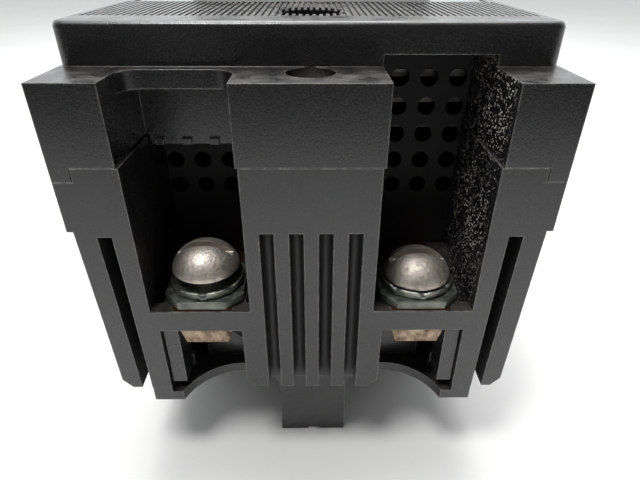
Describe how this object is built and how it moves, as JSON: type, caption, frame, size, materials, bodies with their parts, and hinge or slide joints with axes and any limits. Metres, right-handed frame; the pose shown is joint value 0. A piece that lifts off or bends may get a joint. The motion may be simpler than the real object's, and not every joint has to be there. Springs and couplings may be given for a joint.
{
  "type": "molded case breaker",
  "caption": "Moulded case circuit breaker with a toggle handle, slotted screw clamp terminals in open pockets, vented arc chutes and a coupled over-centre mechanism.",
  "frame": {"origin": "on the mounting plane at the bottom centre of the case", "axes": "+X across the poles to the right when the line end faces the viewer, +Y from the line end to the load end, +Z out of the panel towards the handle"},
  "size_m": [0.0698, 0.1604, 0.0969],
  "materials": {
    "phenolic_base": "moulded phenolic, satin, dusty",
    "phenolic_cover": "moulded phenolic, satin",
    "handle_black": "moulded, satin",
    "screw_steel": "nickel plated steel, worn",
    "zinc_plate": "zinc plated, dull green-grey",
    "brass_nut": "dull copper alloy",
    "copper": "bare copper, tarnished",
    "braid_copper": "woven copper wire",
    "silver_contact": "silver alloy",
    "vent_fibre": "punched vulcanised fibre",
    "cheek_fibre": "vulcanised fibre",
    "grid_steel": "plated steel plate",
    "frame_steel": "zinc chromate steel",
    "pin_steel": "turned steel",
    "spring_steel": "drawn wire",
    "bar_phenolic": "moulded phenolic, brown-black",
    "trip_nylon": "moulded nylon",
    "button_red": "moulded, satin",
    "bimetal_strip": "rolled strip",
    "soft_iron": "blued iron",
    "label_film": "blank printed film, satin"
  },
  "bodies": {
    "case": {"base": "phenolic_base", "cover": "phenolic_cover", "cover_screws": "pin_steel", "rating_plate": "label_film", "terminal_clamp_plates": "zinc_plate", "terminal_lock_washers": "zinc_plate", "terminal_nuts": "brass_nut", "line_strap_left": "copper", "line_strap_right": "copper", "fixed_contact_tips": "silver_contact", "vent_plate_left": "vent_fibre", "vent_plate_right": "vent_fibre", "arc_chute_cheeks_left": "cheek_fibre", "arc_chute_cheeks_right": "cheek_fibre", "arc_grid_plates_left": "grid_steel", "arc_grid_plates_right": "grid_steel", "mechanism_frame_left": "frame_steel", "mechanism_frame_right": "frame_steel", "mechanism_frame_pins": "pin_steel", "cradle": "frame_steel", "cradle_pin": "pin_steel", "load_strap_left": "copper", "load_strap_right": "copper", "bimetal_left": "bimetal_strip", "bimetal_right": "bimetal_strip", "magnet_yoke_left": "soft_iron", "magnet_yoke_right": "soft_iron", "flexible_braid_left": "braid_copper", "flexible_braid_right": "braid_copper", "calibration_screws": "pin_steel"},
    "toggle_handle": {"handle": "handle_black", "handle_yoke": "frame_steel"},
    "contact_bar": {"cross_bar": "bar_phenolic", "cross_bar_link_pin": "pin_steel", "contact_arm_left": "copper", "contact_arm_right": "copper", "moving_contact_tips": "silver_contact"},
    "upper_link": {"upper_links": "frame_steel", "upper_link_rivets": "pin_steel", "knee_pin": "pin_steel"},
    "lower_link": {"lower_links": "frame_steel"},
    "toggle_spring": {"toggle_springs": "spring_steel"},
    "tripper": {"trip_bar": "trip_nylon"},
    "push_to_trip": {"trip_button": "button_red"},
    "armature_l": {"armature_left": "soft_iron"},
    "armature_r": {"armature_right": "soft_iron"},
    "screw_line_left": {"terminal_screw_line_left": "screw_steel"},
    "screw_line_right": {"terminal_screw_line_right": "screw_steel"},
    "screw_load_left": {"terminal_screw_load_left": "screw_steel"},
    "screw_load_right": {"terminal_screw_load_right": "screw_steel"}
  },
  "joints": [
    {"name": "handle_swing", "type": "hinge", "parent": "case", "child": "toggle_handle", "pos_m": [0, 0, 0.052], "axis": [-1, 0, 0], "range_deg": [0, 32]},
    {"name": "contact_bar_turn", "type": "hinge", "parent": "case", "child": "contact_bar", "pos_m": [0, 0.008, 0.024], "axis": [-1, 0, 0], "range_deg": [0, 26.5]},
    {"name": "upper_link_turn", "type": "hinge", "parent": "case", "child": "upper_link", "pos_m": [0, -0.004, 0.056], "axis": [1, 0, 0], "range_deg": [0, 36.2]},
    {"name": "lower_link_turn", "type": "hinge", "parent": "contact_bar", "child": "lower_link", "pos_m": [0, -0.0033, 0.0274], "axis": [1, 0, 0], "range_deg": [0, 6.5]},
    {"name": "spring_turn", "type": "hinge", "parent": "upper_link", "child": "toggle_spring", "pos_m": [0, -0.0018, 0.0427], "axis": [-1, 0, 0], "range_deg": [0, 41.2]},
    {"name": "trip_bar_turn", "type": "hinge", "parent": "case", "child": "tripper", "pos_m": [0, 0.035, 0.063], "axis": [1, 0, 0], "range_deg": [0, 18.5]},
    {"name": "trip_button_push", "type": "slide", "parent": "case", "child": "push_to_trip", "axis": [0, 0, -1], "range_m": [0, 0.0015], "stiffness_N_per_m": 800, "springref_m": -0.0008},
    {"name": "armature_left_pull", "type": "hinge", "parent": "case", "child": "armature_l", "pos_m": [-0.0204, 0.036, 0.057], "axis": [1, 0, 0], "range_deg": [0, 8], "stiffness_Nm_per_rad": 0.01, "springref_deg": -8.59},
    {"name": "armature_right_pull", "type": "hinge", "parent": "case", "child": "armature_r", "pos_m": [0.0204, 0.036, 0.057], "axis": [1, 0, 0], "range_deg": [0, 8], "stiffness_Nm_per_rad": 0.01, "springref_deg": -8.59},
    {"name": "screw_line_left_back_out", "type": "slide", "parent": "case", "child": "screw_line_left", "axis": [0, 0, 1], "range_m": [-0.0021, 0.0015]},
    {"name": "screw_line_right_back_out", "type": "slide", "parent": "case", "child": "screw_line_right", "axis": [0, 0, 1], "range_m": [-0.0006, 0.003]},
    {"name": "screw_load_left_back_out", "type": "slide", "parent": "case", "child": "screw_load_left", "axis": [0, 0, 1], "range_m": [0, 0.0036]},
    {"name": "screw_load_right_back_out", "type": "slide", "parent": "case", "child": "screw_load_right", "axis": [0, 0, 1], "range_m": [0, 0.0036]}
  ],
  "couplings": [
    {"joint": "contact_bar_turn", "follows": "handle_swing", "ratio": 0.8125},
    {"joint": "upper_link_turn", "follows": "handle_swing", "ratio": 1.1143},
    {"joint": "lower_link_turn", "follows": "handle_swing", "ratio": 0.1902},
    {"joint": "spring_turn", "follows": "handle_swing", "ratio": 1.266},
    {"joint": "trip_bar_turn", "follows": "trip_button_push", "rad_per_m": 209.4}
  ]
}
